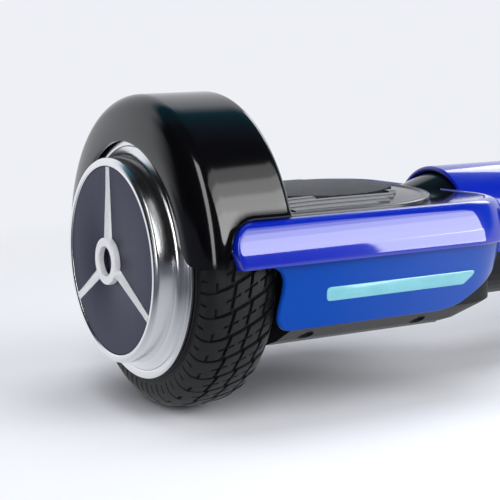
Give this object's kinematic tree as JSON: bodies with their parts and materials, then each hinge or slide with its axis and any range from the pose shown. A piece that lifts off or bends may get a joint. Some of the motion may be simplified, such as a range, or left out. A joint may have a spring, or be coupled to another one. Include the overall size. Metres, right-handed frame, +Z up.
{
  "type": "self balancing board",
  "caption": "Two-wheel self balancing board: twin tilting halves on a pivot tube, hub motor wheels under fenders, ribbed foot pads, side bars and lamp strips.",
  "frame": {"origin": "on the floor, under the middle of the board", "axes": "+X along the axles towards the half with the charging socket, +Z up, lamps on the -Y side"},
  "size_m": [0.584, 0.186, 0.1702],
  "materials": {
    "blue_shell": "high gloss painted",
    "black_shell": "fine moulded grain",
    "gloss_black": "gloss",
    "satin_black": "satin",
    "lamp_lens": "milky lens",
    "circuit_board": "solder mask",
    "cast_aluminium": "as cast",
    "polished_aluminium": "polished, turned",
    "bright_spokes": "satin bright",
    "dark_disc": "fine grain",
    "steel": "ground",
    "core_steel": "varnished",
    "copper": "enamelled wire",
    "cable_rubber": "smooth",
    "tyre": "moulded tread",
    "pad_rubber": "ribbed",
    "seal_rubber": "smooth",
    "cell_can": "film over steel can",
    "sleeve_film": "heat shrink film",
    "bush_bronze": "sintered",
    "button_grey": "satin"
  },
  "bodies": {
    "left_half": {"left_upper_shell": "blue_shell", "left_lower_shell": "black_shell", "left_deck_plate": "gloss_black", "left_fender": "satin_black", "left_lamp_lens": "lamp_lens", "left_lamp_board": "circuit_board", "left_chassis": "cast_aluminium", "left_axle_cap": "cast_aluminium", "left_screws": "steel", "left_axle": "steel", "left_stator_core": "core_steel", "left_stator_windings": "copper", "left_motor_leads": "cable_rubber", "left_sensor_board": "circuit_board", "heat_sink": "cast_aluminium", "main_board": "circuit_board", "pivot_tube": "steel", "retaining_rings": "steel", "stop_pin": "steel", "neck_seal": "seal_rubber", "link_cable": "cable_rubber"},
    "left_wheel": {"left_tyre": "tyre", "left_rim": "polished_aluminium", "left_outer_cover": "polished_aluminium", "left_inner_cover": "cast_aluminium", "left_wheel_disc": "dark_disc", "left_spokes": "bright_spokes", "left_bearings": "steel", "left_magnets": "core_steel"},
    "left_pad": {"left_foot_pad": "pad_rubber"},
    "right_half": {"right_upper_shell": "blue_shell", "right_lower_shell": "black_shell", "right_deck_plate": "gloss_black", "right_fender": "satin_black", "right_lamp_lens": "lamp_lens", "right_lamp_board": "circuit_board", "right_chassis": "cast_aluminium", "right_axle_cap": "cast_aluminium", "right_screws": "steel", "right_axle": "steel", "right_stator_core": "core_steel", "right_stator_windings": "copper", "right_motor_leads": "cable_rubber", "right_sensor_board": "circuit_board", "battery_cells": "cell_can", "battery_sleeve": "sleeve_film", "pivot_bushes": "bush_bronze", "charge_socket": "black_shell", "button_switch": "black_shell"},
    "right_wheel": {"right_tyre": "tyre", "right_rim": "polished_aluminium", "right_outer_cover": "polished_aluminium", "right_inner_cover": "cast_aluminium", "right_wheel_disc": "dark_disc", "right_spokes": "bright_spokes", "right_bearings": "steel", "right_magnets": "core_steel"},
    "right_pad": {"right_foot_pad": "pad_rubber"},
    "power_button": {"power_button": "button_grey"},
    "socket_flap": {"socket_flap": "seal_rubber"}
  },
  "joints": [
    {"name": "centre_twist", "type": "hinge", "parent": "left_half", "child": "right_half", "pos_m": [0, 0, 0.0825], "axis": [1, 0, 0], "range_deg": [-12, 12]},
    {"name": "left_wheel_spin", "type": "hinge", "parent": "left_half", "child": "left_wheel", "pos_m": [-0.2501, 0, 0.0825], "axis": [1, 0, 0], "continuous": true},
    {"name": "right_wheel_spin", "type": "hinge", "parent": "right_half", "child": "right_wheel", "pos_m": [0.2501, 0, 0.0825], "axis": [1, 0, 0], "continuous": true},
    {"name": "left_pad_press", "type": "slide", "parent": "left_half", "child": "left_pad", "axis": [0, 0, 1], "range_m": [-0.0015, 0], "stiffness_N_per_m": 3000, "springref_m": 0.001},
    {"name": "right_pad_press", "type": "slide", "parent": "right_half", "child": "right_pad", "axis": [0, 0, 1], "range_m": [-0.0015, 0], "stiffness_N_per_m": 3000, "springref_m": 0.001},
    {"name": "power_button_press", "type": "slide", "parent": "right_half", "child": "power_button", "axis": [0, -1, 0], "range_m": [0, 0.002], "stiffness_N_per_m": 800, "springref_m": -0.0005},
    {"name": "socket_flap_swing", "type": "hinge", "parent": "right_half", "child": "socket_flap", "pos_m": [0.19, 0.0892, 0.08065], "axis": [1, 0, 0], "range_deg": [0, 100]}
  ]
}
